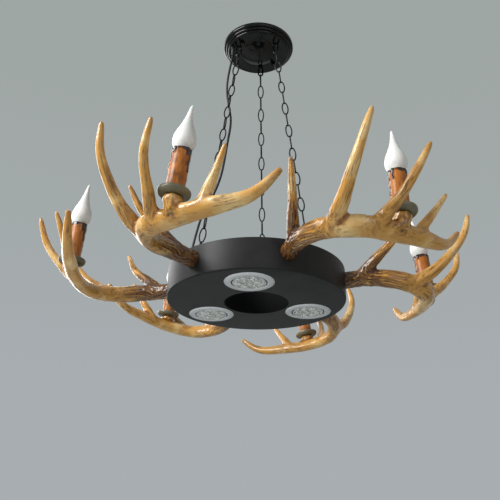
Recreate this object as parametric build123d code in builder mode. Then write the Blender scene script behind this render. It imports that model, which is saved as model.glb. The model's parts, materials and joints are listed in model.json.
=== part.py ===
"""Antler chandelier: six cast antlers with candle lamps round a hanging drum with three tilting spots.

Millimetres, +Z up. The origin is the centre of the ceiling face of the canopy, so the lamp hangs below z = 0.
Azimuths are counted from -Y towards +X. Each antler is modelled in its own frame: +X outwards from the drum's
axis, +Z up, z = 0 at the drum's floor, and is then turned round the drum and rolled on its own bolt.
"""
import os
from math import atan2, cos, pi, radians, sin, sqrt, tan

from build123d import *

# ---- driving dimensions --------------------------------------------------------------------------------------
drop = 590.0                # ceiling to the drum's underside
sheet = 1.5                 # folded and spun steel sheet

canopy_radius = 75.0
canopy_flat_depth = 16.0    # ceiling to the flat ring that carries the eyes
canopy_flat_radius = 61.0
canopy_dome_radius = 37.0
canopy_dome_drop = 8.0      # dome below the flat ring
bead_count = 3              # stepped beads between the rim and the flat ring
rim_height = 3.0

plate_radius = 54.0         # mounting plate inside the canopy
plate_thickness = 2.0
plate_hole_radius = 9.0     # supply wires come through here
plate_hole_azimuth = 0.0
plate_hole_circle = 28.0
plate_screw_spacing = 84.0
plate_screw_hole_radius = 2.5
plate_screw_slot = 9.0
stud_radius = 2.5
stud_azimuth = -40.0
stud_circle = 46.0
cap_nut_radius = 4.6
cap_nut_height = 7.0
cap_nut_hex_share = 0.5     # of the height; the rest is its dome
cap_nut_bore_share = 0.6
cap_nut_dome_radius = 4.0
cap_nut_dome_taper = 28.0

drum_radius = 160.0
drum_height = 55.0
drum_hole_radius = 56.0
drum_edge_fillet = 3.0
post_radius = 4.0
post_inset = 6.0            # post axis from the wall's face
post_azimuths = (-60.0, 60.0, 180.0)
screw_radius = 2.0
screw_head_radius = 3.8
screw_head_height = 2.4
screw_head_taper = 12.0
screw_length = 10.0

chain_azimuths = (-60.0, 60.0, 180.0)
canopy_eye_circle = 46.0
drum_eye_circle = 112.5
eye_wire = 3.5
eye_inner_width = 6.0
canopy_eye_height = 24.0
drum_eye_height = 20.0
eye_collar_radius = 4.2
eye_collar_height = 2.0
eye_shank_radius = 2.0
eye_shank_length = 9.0
eye_nut_radius = 4.2
eye_nut_height = 3.2

link_wire = 2.8
link_count = 17
link_half_width = 5.6       # to the wire's centre
link_end_radius = 3.6
link_side_share = 0.42      # corners of a bowed side, as a share of its arc
link_end_turn = 0.36        # half the angle of a straight piece at the ends, in radians
link_slack = 0.05           # between two links of one chain
hook_gap = 0.35             # a chain's end link to its eye
open_gap = 1.1              # the same at the two lower eyes that close the loop

cord_radius = 2.3
cord_step_from_eye = 12.5   # cord exit beside the left canopy eye
gland_step_from_eye = 14.5  # and beside the left drum eye
gland_radius = 5.0
gland_flange_height = 3.0
gland_nose_radius = 3.4
cord_gap = 0.6              # cord's end to the gland's nose, so the cord can swing

spot_azimuths = (0.0, 120.0, 240.0)
spot_circle = 104.5
spot_bezel_radius = 42.0
spot_bezel_height = 2.0
spot_bezel_bevel = 3.5      # sloping outer edge
spot_bezel_lip = 1.2        # sloping inner edge
spot_head_radius = 28.6     # ball zone of the tilting head
spot_head_gap = 0.6
spot_collar_wall = 3.3
spot_collar_height = 7.0
spot_hole_gap = 1.5
spot_pin_radius = 1.5
spot_pin_gap = 0.05
spot_pivot_height = 2.5     # pivot above the drum's floor
spot_zone = 4.5             # half height of the ball zone
spot_body_radius = 24.0
spot_body_height = 30.0
spot_fin_depth = 3.0
spot_fin_count = 4
spot_lens_radius = 22.5
spot_lens_depth = 3.0
led_circle = 14.5
led_radius = 6.4
led_height = 2.2
led_taper = 25.0
led_count = 6
clip_width = 10.0
clip_reach = 15.0
clip_thickness = 0.8

antler_azimuths = (-35.0, 25.0, 85.0, 145.0, 202.5, 265.0)
antler_rolls = (-2.0, 0.0, -1.0, -7.0, 7.0, 2.0)    # each one is clamped at its own slight roll
antler_axis_height = 33.0   # above the drum's floor
bolt_radius = 4.0
bolt_gap = 0.15
bolt_grip = 30.0            # shank inside the antler
bolt_hole_spare = 2.0       # hole beyond the shank's end
bolt_head_radius = 7.5
bolt_head_height = 5.5
saddle_radius = 11.0
saddle_height = 4.0         # flat side to the drum wall

candle_base = Vector(307.5, 118.0, 51.4)    # centre of the drip pan in the antler's frame
candle_lean = Vector(-0.081, 0.037, 1.0)
pan_radius = 24.0
pan_height = 9.0
pan_wall = 2.0
pan_lip = 0.6               # rim leans in by this much
pan_floor_radius = 17.3
pan_knee_radius = 22.6
pan_knee_height = 2.25
pan_widest_height = 4.95
cup_top_radius = 15.0
cup_bottom_radius = 8.5
cup_depth = 24.0            # boss under the pan, sunk in the beam
cup_widest_depth = 8.4
cup_rim_radius = 13.5
cup_sides = 12
sleeve_radius = 13.8
sleeve_wall = 1.2
sleeve_top = 72.0           # above the pan's centre
nipple_radius = 5.0
slip_gap = 0.1              # a shank in its hole
nipple_depth = 16.0         # into the boss
nipple_rise = 8.0           # above the pan's floor
holder_radius = 10.8
holder_top = 58.0
socket_radius = 7.15
socket_depth = 27.0
bulb_cap_radius = 6.9
bulb_cap_length = 24.0
bulb_cap_chamfer = 2.0
bulb_gap = 0.3              # glass above the lampholder's rim
bulb_mouth_radius = 11.4
bulb_radius = 17.4
bulb_belly = 86.0           # height of the widest ring above the pan's centre
bulb_tip = 153.5
bulb_tip_radius = 1.6
bulb_bend = 5.0             # sideways reach of the bent tip
bulb_sides = 20

driver_size = (92.0, 38.0, 22.0)
driver_azimuth = 180.0
driver_circle = 107.0
driver_corner = 4.0
driver_chamfer = 1.5
terminal_size = (18.0, 12.0, 8.0)
terminal_azimuth = -97.0
terminal_circle = 26.0
terminal_chamfer = 1.0

# ---- levels and derived sizes ----------------------------------------------------------------------------------
floor_z = -drop
lid_z = floor_z + drum_height                       # top face of the drum's lid
flat_z = -canopy_flat_depth                         # underside of the canopy's flat ring
eye_wire_radius = eye_wire / 2
upper_hook_z = flat_z - canopy_eye_height + eye_wire_radius
lower_hook_z = lid_z + drum_eye_height - eye_wire_radius
link_wire_radius = link_wire / 2
wall_inside = drum_radius - sheet


def polar(azimuth, radius, z=0.0):
    """A point at an azimuth counted from -Y towards +X."""
    return Vector(radius * sin(radians(azimuth)), -radius * cos(radians(azimuth)), z)


def outward(azimuth):
    """Frame on the axis, +X outwards at the azimuth."""
    return Location((0, 0, 0), (0, 0, azimuth - 90))


def write(part, name):
    part.label = name
    export_step(part, f"parts/{name}.step")


os.makedirs("parts", exist_ok=True)

# ---- canopy ------------------------------------------------------------------------------------------------------
bead_run = (canopy_radius - canopy_flat_radius) / bead_count
bead_drop = (canopy_flat_depth - rim_height) / bead_count
bead_bulge = 0.3            # share of a bead's run by which it swells
canopy_foot_z = flat_z - canopy_dome_drop


def dome(lift, radius):
    """Shallow dome from the axis to its foot on the flat ring."""
    half = Vector(radius * 0.52, flat_z - canopy_dome_drop * 0.76 + lift)
    return ThreePointArc((0, canopy_foot_z + lift), half, (radius, flat_z + lift))


with BuildPart() as canopy:
    with BuildSketch(Plane.XZ):
        with BuildLine():
            Line((canopy_radius - sheet, 0), (canopy_radius, 0))
            edge = Line((canopy_radius, 0), (canopy_radius, -rim_height)) @ 1
            for bead in range(bead_count):
                corner = edge + Vector(-bead_run, -bead_drop)
                swell = (edge + corner) / 2 + Vector(bead_drop, -bead_run) * bead_bulge
                ThreePointArc(edge, swell, corner)
                edge = corner
            Line(edge, (canopy_dome_radius, flat_z))
            dome(0, canopy_dome_radius)
            Line((0, canopy_foot_z), (0, canopy_foot_z + sheet))
            dome(sheet, canopy_dome_radius)
            Polyline(
                (canopy_dome_radius, flat_z + sheet),
                (canopy_flat_radius, flat_z + sheet),
                (canopy_radius - sheet, -rim_height),
                (canopy_radius - sheet, 0),
            )
        make_face()
    revolve(axis=Axis.Z)
    for azimuth in chain_azimuths:
        with Locations(polar(azimuth, canopy_eye_circle, flat_z)):
            Hole(radius=eye_shank_radius + slip_gap)
    for azimuth in (stud_azimuth, stud_azimuth + 180):
        with Locations(polar(azimuth, stud_circle, flat_z)):
            Hole(radius=stud_radius + slip_gap)
    gland_place = polar(chain_azimuths[0], canopy_eye_circle, flat_z) - Vector(cord_step_from_eye, 0, 0)
    with Locations(gland_place):
        Hole(radius=gland_nose_radius)
write(canopy.part, "canopy")

with BuildPart() as ceiling_plate:
    with BuildSketch(Plane.XY.offset(-plate_thickness)):
        Circle(plate_radius)
        with Locations(polar(plate_hole_azimuth, plate_hole_circle)):
            Circle(plate_hole_radius, mode=Mode.SUBTRACT)
        with GridLocations(plate_screw_spacing, 0, 2, 1):
            SlotOverall(plate_screw_slot, plate_screw_hole_radius * 2, mode=Mode.SUBTRACT)
    extrude(amount=plate_thickness)
    for azimuth in (stud_azimuth, stud_azimuth + 180):
        with BuildSketch(Plane(polar(azimuth, stud_circle, -plate_thickness / 2), z_dir=(0, 0, -1))):
            Circle(stud_radius)
        extrude(amount=canopy_flat_depth - plate_thickness / 2 + cap_nut_height * cap_nut_bore_share)
write(ceiling_plate.part, "ceiling_plate")

cap_nut_hex_height = cap_nut_height * cap_nut_hex_share
with BuildPart() as cap_nuts:
    for azimuth in (stud_azimuth, stud_azimuth + 180):
        place = polar(azimuth, stud_circle, flat_z)
        with BuildSketch(Plane(place, z_dir=(0, 0, -1))):
            RegularPolygon(cap_nut_radius, 6)
        extrude(amount=cap_nut_hex_height)
        with BuildSketch(Plane(place - Vector(0, 0, cap_nut_hex_height), z_dir=(0, 0, -1))):
            Circle(cap_nut_dome_radius)
        extrude(amount=cap_nut_height - cap_nut_hex_height, taper=cap_nut_dome_taper)
        with BuildSketch(Plane(place, z_dir=(0, 0, -1))):
            Circle(stud_radius)
        extrude(amount=cap_nut_height * cap_nut_bore_share, mode=Mode.SUBTRACT)
write(cap_nuts.part, "canopy_cap_nuts")


def eye(place, height, direction):
    """An eye bolt: an oblong ring in the X-Z plane, a collar and a threaded shank through the sheet."""
    half = (eye_inner_width + eye_wire) / 2
    with BuildPart() as one:
        with BuildLine(Plane(place, x_dir=(1, 0, 0), z_dir=(0, -direction, 0))):
            low = eye_wire_radius
            high = height - eye_wire_radius
            left = Line((-half, low + half), (-half, high - half))
            TangentArc(left @ 1, (half, high - half), tangent=left % 1)
            right = Line((half, high - half), (half, low + half))
            TangentArc(right @ 1, left @ 0, tangent=right % 1)
        with BuildSketch(Plane(left @ 0.5, z_dir=left % 0.5)):
            Circle(eye_wire_radius)
        sweep()
        with BuildSketch(Plane(place, z_dir=(0, 0, direction))):
            Circle(eye_collar_radius)
        extrude(amount=eye_collar_height)
        with BuildSketch(Plane(place, z_dir=(0, 0, -direction))):
            Circle(eye_shank_radius)
        extrude(amount=eye_shank_length)
    return one.part


def eye_nut(place, direction):
    """Hex nut on an eye's shank, on the far side of the sheet."""
    with BuildPart() as one:
        with BuildSketch(Plane(place - Vector(0, 0, sheet * direction), z_dir=(0, 0, -direction))):
            RegularPolygon(eye_nut_radius, 6)
            Circle(eye_shank_radius, mode=Mode.SUBTRACT)
        extrude(amount=eye_nut_height)
    return one.part


for name, circle, z, height, direction in (
    ("canopy", canopy_eye_circle, flat_z, canopy_eye_height, -1),
    ("drum", drum_eye_circle, lid_z, drum_eye_height, 1),
):
    places = [polar(azimuth, circle, z) for azimuth in chain_azimuths]
    with BuildPart() as eyes:
        for place in places:
            add(eye(place, height, direction))
    write(eyes.part, f"{name}_eyes")
    with BuildPart() as nuts:
        for place in places:
            add(eye_nut(place, direction))
    write(nuts.part, f"{name}_eye_nuts")

# ---- chains ------------------------------------------------------------------------------------------------------
hinge_tops = [polar(azimuth, canopy_eye_circle, upper_hook_z) for azimuth in chain_azimuths]
hinge_feet = [polar(azimuth, drum_eye_circle, lower_hook_z) for azimuth in chain_azimuths]
chain_gaps = ((hook_gap, hook_gap), (hook_gap, open_gap), (hook_gap, open_gap))


def oval_link(half_length):
    """One closed link in the X-Y plane, long along X: bowed sides and tight ends, of hexagonal wire."""
    centre = half_length - link_end_radius
    bow = (centre**2 + link_half_width**2 - link_end_radius**2) / (2 * (link_half_width - link_end_radius))
    reach = atan2(centre, bow - link_half_width)
    side = [reach * share for share in (-link_side_share, link_side_share)]
    top = [Vector(bow * sin(a), bow * cos(a) - bow + link_half_width) for a in side]
    turns = (3 * link_end_turn, link_end_turn, -link_end_turn, -3 * link_end_turn)
    corner = link_end_radius / cos(link_end_turn)
    end = [Vector(centre + corner * cos(turn), corner * sin(turn)) for turn in turns]
    ring = top + end
    ring += [-p for p in ring]
    with BuildPart() as one:
        with BuildLine():
            wire = Polyline(*ring, close=True)
        with BuildSketch(Plane(wire @ 0, z_dir=wire % 0)):
            RegularPolygon(link_wire_radius, 6)
        sweep(transition=Transition.RIGHT)
    return one.part


for name, top, foot, gaps in zip(("left", "right", "far"), hinge_tops, hinge_feet, chain_gaps):
    line = (foot - top).normalized()
    touch = eye_wire_radius + link_wire_radius
    start = top - line * (touch + gaps[0])
    run = (foot - top).length + 2 * touch + gaps[0] + gaps[1]
    overlap = link_wire + link_slack
    length = (run + (link_count - 1) * overlap) / link_count
    link = oval_link(length / 2)
    broad = Vector(1, 0, 0) - line * line.X
    with BuildPart() as chain:
        for number in range(link_count):
            middle = start + line * (length / 2 + number * (length - overlap))
            normal = broad if number % 2 == 0 else broad.cross(line)
            add(link.moved(Plane(middle, x_dir=line, z_dir=normal).location))
    write(chain.part, f"chain_{name}")

# ---- supply cord ---------------------------------------------------------------------------------------------
cord_top = hinge_tops[0] - Vector(cord_step_from_eye, 0, 0)
cord_foot = hinge_feet[0] - Vector(gland_step_from_eye, 0, 0)
chain_line = (hinge_feet[0] - hinge_tops[0]).normalized()
aside = (Vector(1, 0, 0) - chain_line * chain_line.X).normalized()
behind = chain_line.cross(aside)
if behind.Y < 0:
    behind = behind * -1
# distance down the chain, to the right of it and behind it
cord_stations = (
    (30, -12.9, 0.0), (62, -13.6, 1.2), (92, -12.2, 5.4), (118, -6.4, 10.2), (142, 1.2, 12.0), (166, 8.0, 9.6),
    (195, 11.4, 5.2), (230, 11.6, 3.6), (268, 12.4, 4.0), (302, 11.4, 6.4), (328, 6.6, 10.6), (352, 0.2, 12.4),
    (376, -6.6, 11.0), (402, -11.4, 6.6), (430, -12.6, 2.4), (456, -13.6, 0.4),
)
cord_points = [cord_top]
cord_points += [hinge_tops[0] + chain_line * s + aside * x + behind * y for s, x, y in cord_stations]
cord_points += [cord_foot]


def arc_radii(points):
    """0.45 of the shorter run at each corner, over the tangent of half the turn."""
    radii = []
    for before, here, after in zip(points, points[1:], points[2:]):
        turn = radians((here - before).get_angle(after - here))
        radii.append(0.45 * min((here - before).length, (after - here).length) / tan(turn / 2))
    return radii


cord_radii = arc_radii(cord_points)
with BuildPart() as cord:
    with BuildLine():
        route = FilletPolyline(*cord_points, radius=cord_radii)
    with BuildSketch(Plane(route @ 0, z_dir=route % 0)):
        Circle(cord_radius)
    sweep()
write(cord.part, "supply_cord")
print("cord radii", [round(r) for r in cord_radii])
print("cord volume", round(cord.part.volume), "section x length", round(pi * cord_radius**2 * route.length))


def gland(place, height, direction):
    """Cord gland: flange on the sheet, nose towards the cord, bored for it and held by its own tail."""
    tail = sheet + gland_flange_height
    with BuildPart() as one:
        with BuildSketch(Plane(place, z_dir=(0, 0, direction))):
            Circle(gland_radius)
        extrude(amount=gland_flange_height)
        with BuildSketch(Plane(place - Vector(0, 0, tail * direction), z_dir=(0, 0, direction))):
            Circle(gland_nose_radius)
        extrude(amount=height + tail)
        with BuildSketch(Plane(place - Vector(0, 0, tail * direction), z_dir=(0, 0, direction))):
            Circle(cord_radius + slip_gap)
        extrude(amount=tail, mode=Mode.SUBTRACT)
    return one.part


canopy_gland_z = upper_hook_z + cord_gap
drum_gland_z = lower_hook_z - cord_gap
upper_gland = gland(Vector(cord_top.X, cord_top.Y, flat_z), flat_z - canopy_gland_z, -1)
write(upper_gland, "canopy_cord_grip")
lower_gland = gland(Vector(cord_foot.X, cord_foot.Y, lid_z), drum_gland_z - lid_z, 1)
write(lower_gland, "drum_cord_gland")

with BuildPart() as terminal:
    with BuildSketch(Plane(polar(terminal_azimuth, terminal_circle, -plate_thickness), z_dir=(0, 0, -1))):
        Rectangle(terminal_size[0], terminal_size[1])
    extrude(amount=terminal_size[2])
    chamfer(terminal.faces().sort_by(Axis.Z)[0].edges(), length=terminal_chamfer)
write(terminal.part, "terminal_block")

# ---- drum --------------------------------------------------------------------------------------------------------
post_circles = (wall_inside - post_inset, drum_hole_radius + sheet + post_inset)
post_places = [polar(azimuth, circle) for azimuth in post_azimuths for circle in post_circles]
spot_hole_radius = spot_head_radius + spot_head_gap + spot_collar_wall + spot_hole_gap
with BuildPart() as drum:
    with BuildSketch(Plane.XY.offset(floor_z)):
        Circle(drum_radius)
        Circle(drum_hole_radius, mode=Mode.SUBTRACT)
    extrude(amount=drum_height - sheet)
    fillet(drum.faces().sort_by(Axis.Z)[0].outer_wire().edges(), radius=drum_edge_fillet)
    with BuildSketch(Plane.XY.offset(floor_z + sheet)):
        Circle(wall_inside)
        Circle(drum_hole_radius + sheet, mode=Mode.SUBTRACT)
    extrude(amount=drum_height, mode=Mode.SUBTRACT)
    for place in post_places:
        with BuildSketch(Plane(place + Vector(0, 0, floor_z + sheet / 2))):
            Circle(post_radius)
        extrude(amount=drum_height - sheet * 1.5)
        with BuildSketch(Plane(place + Vector(0, 0, lid_z - sheet), z_dir=(0, 0, -1))):
            Circle(screw_radius + slip_gap)
        extrude(amount=screw_length, mode=Mode.SUBTRACT)
    for azimuth in spot_azimuths:
        with BuildSketch(Plane(polar(azimuth, spot_circle, floor_z))):
            Circle(spot_hole_radius)
        extrude(amount=sheet, mode=Mode.SUBTRACT)
    for azimuth in antler_azimuths:
        start = polar(azimuth, wall_inside - sheet, floor_z + antler_axis_height)
        with BuildSketch(Plane(start, z_dir=polar(azimuth, 1))):
            Circle(bolt_radius + bolt_gap)
        extrude(amount=sheet * 3, mode=Mode.SUBTRACT)
write(drum.part, "drum_shell")

with BuildPart() as lid:
    with BuildSketch(Plane.XY.offset(lid_z - sheet)):
        Circle(drum_radius)
        Circle(drum_hole_radius, mode=Mode.SUBTRACT)
        with Locations(*[(p.X, p.Y) for p in post_places]):
            Circle(screw_radius + slip_gap, mode=Mode.SUBTRACT)
        with Locations(*[(p.X, p.Y) for p in hinge_feet]):
            Circle(eye_shank_radius + slip_gap, mode=Mode.SUBTRACT)
        with Locations((cord_foot.X, cord_foot.Y)):
            Circle(gland_nose_radius, mode=Mode.SUBTRACT)
    extrude(amount=sheet)
write(lid.part, "drum_lid")

with BuildPart() as lid_screws:
    for place in post_places:
        with BuildSketch(Plane(place + Vector(0, 0, lid_z))):
            Circle(screw_head_radius)
        extrude(amount=screw_head_height, taper=screw_head_taper)
        with BuildSketch(Plane(place + Vector(0, 0, lid_z), z_dir=(0, 0, -1))):
            Circle(screw_radius)
        extrude(amount=screw_length)
write(lid_screws.part, "lid_screws")

with BuildPart() as driver:
    with BuildSketch(Plane(polar(driver_azimuth, driver_circle, floor_z + sheet))):
        RectangleRounded(driver_size[0], driver_size[1], driver_corner)
    extrude(amount=driver_size[2])
    chamfer(driver.faces().sort_by(Axis.Z)[-1].edges(), length=driver_chamfer)
write(driver.part, "led_driver")

# ---- spots -------------------------------------------------------------------------------------------------------
collar_inside = spot_head_radius + spot_head_gap
collar_outside = collar_inside + spot_collar_wall
pivot_z = floor_z + spot_pivot_height
with BuildPart() as bezel:
    with BuildSketch(Plane.XZ):
        with BuildLine():
            Polyline(
                (collar_inside, floor_z - spot_bezel_height * 0.6),
                (collar_inside + spot_bezel_lip, floor_z - spot_bezel_height),
                (spot_bezel_radius - spot_bezel_bevel, floor_z - spot_bezel_height),
                (spot_bezel_radius, floor_z - spot_bezel_height * 0.4),
                (spot_bezel_radius, floor_z),
                (collar_outside, floor_z),
                (collar_outside, floor_z + spot_collar_height),
                (collar_inside, floor_z + spot_collar_height),
                close=True,
            )
        make_face()
    revolve(axis=Axis.Z)
    with BuildSketch(Plane(Vector(0, -collar_outside - 1, pivot_z), z_dir=(0, 1, 0))):
        Circle(spot_pin_radius + spot_pin_gap)
    extrude(amount=2 * collar_outside + 2, mode=Mode.SUBTRACT)

with BuildPart() as clip:
    with BuildSketch(Plane.XY.offset(floor_z + sheet)):
        with Locations((collar_outside + clip_reach / 2, 0)):
            Rectangle(clip_reach, clip_width)
    extrude(amount=clip_thickness)
    with BuildSketch(Plane.XY.offset(floor_z + sheet)):
        with Locations((collar_outside + clip_thickness / 2, 0)):
            Rectangle(clip_thickness, clip_width)
    extrude(amount=spot_collar_height - sheet)

face_z = pivot_z - spot_zone
body_top_z = pivot_z + spot_zone + spot_body_height
fin_pitch = spot_body_height / (spot_fin_count + 0.5)
with BuildPart() as head:
    with BuildSketch(Plane.XZ):
        zone_edge = sqrt(spot_head_radius**2 - spot_zone**2)
        with BuildLine():
            Polyline((0, face_z), (zone_edge, face_z))
            RadiusArc((zone_edge, face_z), (zone_edge, pivot_z + spot_zone), -spot_head_radius)
            Polyline(
                (zone_edge, pivot_z + spot_zone),
                (spot_body_radius, pivot_z + spot_zone),
                (spot_body_radius, body_top_z),
                (0, body_top_z),
                (0, face_z),
            )
        make_face()
    revolve(axis=Axis.Z)
    for fin in range(spot_fin_count):
        with BuildSketch(Plane.XY.offset(pivot_z + spot_zone + fin_pitch * (fin + 0.6))):
            Circle(spot_body_radius + 1)
            Circle(spot_body_radius - spot_fin_depth, mode=Mode.SUBTRACT)
        extrude(amount=fin_pitch * 0.5, mode=Mode.SUBTRACT)
    with BuildSketch(Plane.XY.offset(face_z)):
        Circle(spot_lens_radius)
    extrude(amount=spot_lens_depth, mode=Mode.SUBTRACT)
    with BuildSketch(Plane.XZ.offset(-collar_outside)):
        with Locations((0, pivot_z)):
            Circle(spot_pin_radius)
    extrude(amount=2 * collar_outside)

with BuildPart() as lens:
    with BuildSketch(Plane.XY.offset(face_z + led_height)):
        Circle(spot_lens_radius)
    extrude(amount=spot_lens_depth - led_height)
    with BuildSketch(Plane(Vector(0, 0, face_z + led_height), z_dir=(0, 0, -1))):
        with Locations((0, 0)):
            RegularPolygon(led_radius, 8)
        with PolarLocations(led_circle, led_count):
            RegularPolygon(led_radius, 8)
    extrude(amount=led_height, taper=led_taper)

spot_places = [polar(azimuth, spot_circle) for azimuth in spot_azimuths]
with BuildPart() as bezels:
    for place in spot_places:
        add(bezel.part.moved(Location(place)))
write(bezels.part, "spot_bezels")
with BuildPart() as clips:
    for place in spot_places:
        for turn in (0, 180):
            add(clip.part.moved(Location(place, (0, 0, turn))))
write(clips.part, "spot_clips")
for number, place in enumerate(spot_places, 1):
    write(head.part.moved(Location(place)), f"spot_{number}_head")
    write(lens.part.moved(Location(place)), f"spot_{number}_lens")

# ---- antlers -----------------------------------------------------------------------------------------------------
candle_axis = candle_lean.normalized()
candle_plane = Plane(candle_base, x_dir=(1, 0, -candle_axis.X / candle_axis.Z), z_dir=candle_axis)
# each limb: points of its centre line, the direction its rings are widest in, the rings as (share of the length,
# widest radius, thinnest radius) and their sides; the beam is flattened like a palm that leans outwards
beam = (
    ((158, 0, 33), (214, 0, 34), (264.5, 13.5, 28), (299, 54.5, 22.5), (299, 110.5, 22), (283.5, 167.5, 27),
     (262, 221, 36), (245, 261, 71.5)),
    (0.77, 0, 0.64),
    ((0, 15, 14.5), (0.1, 14.6, 13.6), (0.2, 16, 13.4), (0.3, 17.2, 13), (0.39, 18, 12.4), (0.5, 16.8, 11.6),
     (0.62, 15.6, 10.8), (0.7, 14.4, 10.2), (0.78, 11.5, 8.8), (0.86, 9, 7.6), (0.93, 6.6, 6), (0.98, 4, 3.8), (1, 1.8, 1.8)),
    12,
)
brow_tine = (
    ((186, 0, 35), (218, -15.5, 66), (250, -29, 95), (273, -39.5, 134)),
    (0, 1, 0),
    ((0, 12.5, 12.5), (0.2, 10.6, 10.6), (0.42, 8, 8), (0.7, 6, 6), (0.92, 3.8, 3.8), (1, 1.5, 1.5)),
    10,
)
second_tine = (
    ((273.5, 22, 26), (316.5, 20, 51), (349.5, 21, 84), (375, 26, 122), (387, 37, 163)),
    (0, 1, 0),
    ((0, 15, 13), (0.18, 12.8, 11.2), (0.34, 10.2, 9.2), (0.6, 8, 7.6), (0.85, 5.8, 5.6), (0.96, 3.9, 3.9), (1, 1.8, 1.8)),
    12,
)
third_tine = (
    ((303, 73, 22), (335.5, 95.5, 52.5), (363, 114, 91), (373, 136, 134.5)),
    (0, 1, 0),
    ((0, 13, 11.5), (0.2, 10.4, 9.6), (0.4, 7.8, 7.4), (0.7, 6.3, 6.1), (0.93, 4, 4), (1, 1.6, 1.6)),
    10,
)
fourth_tine = (
    ((287, 149, 25), (290.5, 167.5, 49), (295, 187, 75), (300, 206, 101)),
    (1, 0, 0),
    ((0, 11.5, 10.5), (0.25, 9.2, 8.8), (0.5, 6.8, 6.6), (0.8, 4.7, 4.6), (0.94, 3.2, 3.2), (1, 1.3, 1.3)),
    10,
)


def limb(points, widest, rings, sides):
    """A tapering limb: oval rings square to a smooth line through the points."""
    line = Spline(*points)
    with BuildPart() as one:
        for share, wide, thin in rings:
            along = line % share
            turns = [2 * pi * side / sides for side in range(sides)]
            with BuildSketch(Plane(line @ share, x_dir=Vector(*widest).cross(along), z_dir=along)):
                Polygon(*[(thin * cos(turn), wide * sin(turn)) for turn in turns], align=None)
        loft(ruled=True)
    return one.part


with BuildPart() as antler:
    for points, widest, rings, sides in (beam, brow_tine, second_tine, third_tine, fourth_tine):
        add(limb(points, widest, rings, sides))
    with BuildSketch(candle_plane.offset(-pan_height / 2 - cup_depth)):
        RegularPolygon(cup_bottom_radius, cup_sides)
    with BuildSketch(candle_plane.offset(-pan_height / 2 - cup_widest_depth)):
        RegularPolygon(cup_top_radius, cup_sides)
    with BuildSketch(candle_plane.offset(-pan_height / 2)):
        RegularPolygon(cup_rim_radius, cup_sides)
    loft(ruled=True)
    with BuildSketch(candle_plane.offset(-pan_height / 2 - nipple_depth)):
        Circle(nipple_radius + slip_gap)
    extrude(amount=nipple_depth, mode=Mode.SUBTRACT)
    with BuildSketch(Plane((wall_inside, 0, antler_axis_height), z_dir=(1, 0, 0))):
        Circle(bolt_radius + bolt_gap)
    extrude(amount=sheet + bolt_grip + bolt_hole_spare, mode=Mode.SUBTRACT)


def on_drum(number, roll=True):
    """Places the antler's frame on the drum, rolled on its bolt."""
    turn = antler_rolls[number] if roll else 0.0
    axis = Location((0, 0, antler_axis_height), (turn, 0, 0)) * Location((0, 0, -antler_axis_height))
    return Location((0, 0, floor_z)) * outward(antler_azimuths[number]) * axis


with BuildPart() as saddle:
    with BuildSketch(Plane((wall_inside - saddle_height, 0, antler_axis_height), z_dir=(1, 0, 0))):
        Circle(saddle_radius)
        Circle(bolt_radius + bolt_gap, mode=Mode.SUBTRACT)
    extrude(amount=saddle_height)
    with BuildSketch(Plane.XY):
        Circle(wall_inside)
    extrude(amount=drum_height, mode=Mode.INTERSECT)

with BuildPart() as bolt:
    with BuildSketch(Plane((wall_inside - saddle_height, 0, antler_axis_height), z_dir=(-1, 0, 0))):
        RegularPolygon(bolt_head_radius, 6)
    extrude(amount=bolt_head_height)
    with BuildSketch(Plane((wall_inside - saddle_height, 0, antler_axis_height), z_dir=(1, 0, 0))):
        Circle(bolt_radius)
    extrude(amount=saddle_height + sheet + bolt_grip)

pan_floor = -pan_height / 2
with BuildPart() as pan:
    with BuildSketch(Plane.XZ):
        with BuildLine():
            Polyline(
                (nipple_radius + slip_gap, pan_floor),
                (pan_floor_radius, pan_floor),
                (pan_knee_radius, pan_floor + pan_knee_height),
                (pan_radius, pan_floor + pan_widest_height),
                (pan_radius - pan_lip, -pan_floor),
                (pan_radius - pan_lip - pan_wall, -pan_floor),
                (pan_floor_radius, pan_floor + pan_wall),
                (nipple_radius + slip_gap, pan_floor + pan_wall),
                close=True,
            )
        make_face()
    revolve(axis=Axis.Z)

seat = pan_floor + pan_wall
with BuildPart() as sleeve:
    with BuildSketch(Plane.XY.offset(seat)):
        Circle(sleeve_radius)
        Circle(sleeve_radius - sleeve_wall, mode=Mode.SUBTRACT)
    extrude(amount=sleeve_top - seat)

with BuildPart() as nipple:
    with BuildSketch(Plane.XY.offset(pan_floor - nipple_depth)):
        Circle(nipple_radius)
        Circle(nipple_radius * 0.65, mode=Mode.SUBTRACT)
    extrude(amount=nipple_depth + nipple_rise)

holder_foot = seat
with BuildPart() as holder:
    with BuildSketch(Plane.XY.offset(holder_foot)):
        Circle(holder_radius)
    extrude(amount=holder_top - holder_foot)
    with BuildSketch(Plane.XY.offset(holder_top)):
        Circle(socket_radius)
    extrude(amount=-socket_depth, mode=Mode.SUBTRACT)
    with BuildSketch(Plane.XY.offset(holder_foot)):
        Circle(nipple_radius + slip_gap)
    extrude(amount=nipple_rise - pan_wall, mode=Mode.SUBTRACT)

with BuildPart() as bulb_cap:
    with BuildSketch(Plane.XY.offset(holder_top - bulb_cap_length)):
        Circle(bulb_cap_radius)
    extrude(amount=bulb_cap_length + bulb_gap)
    chamfer(bulb_cap.faces().sort_by(Axis.Z)[0].edges(), length=bulb_cap_chamfer)

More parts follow.
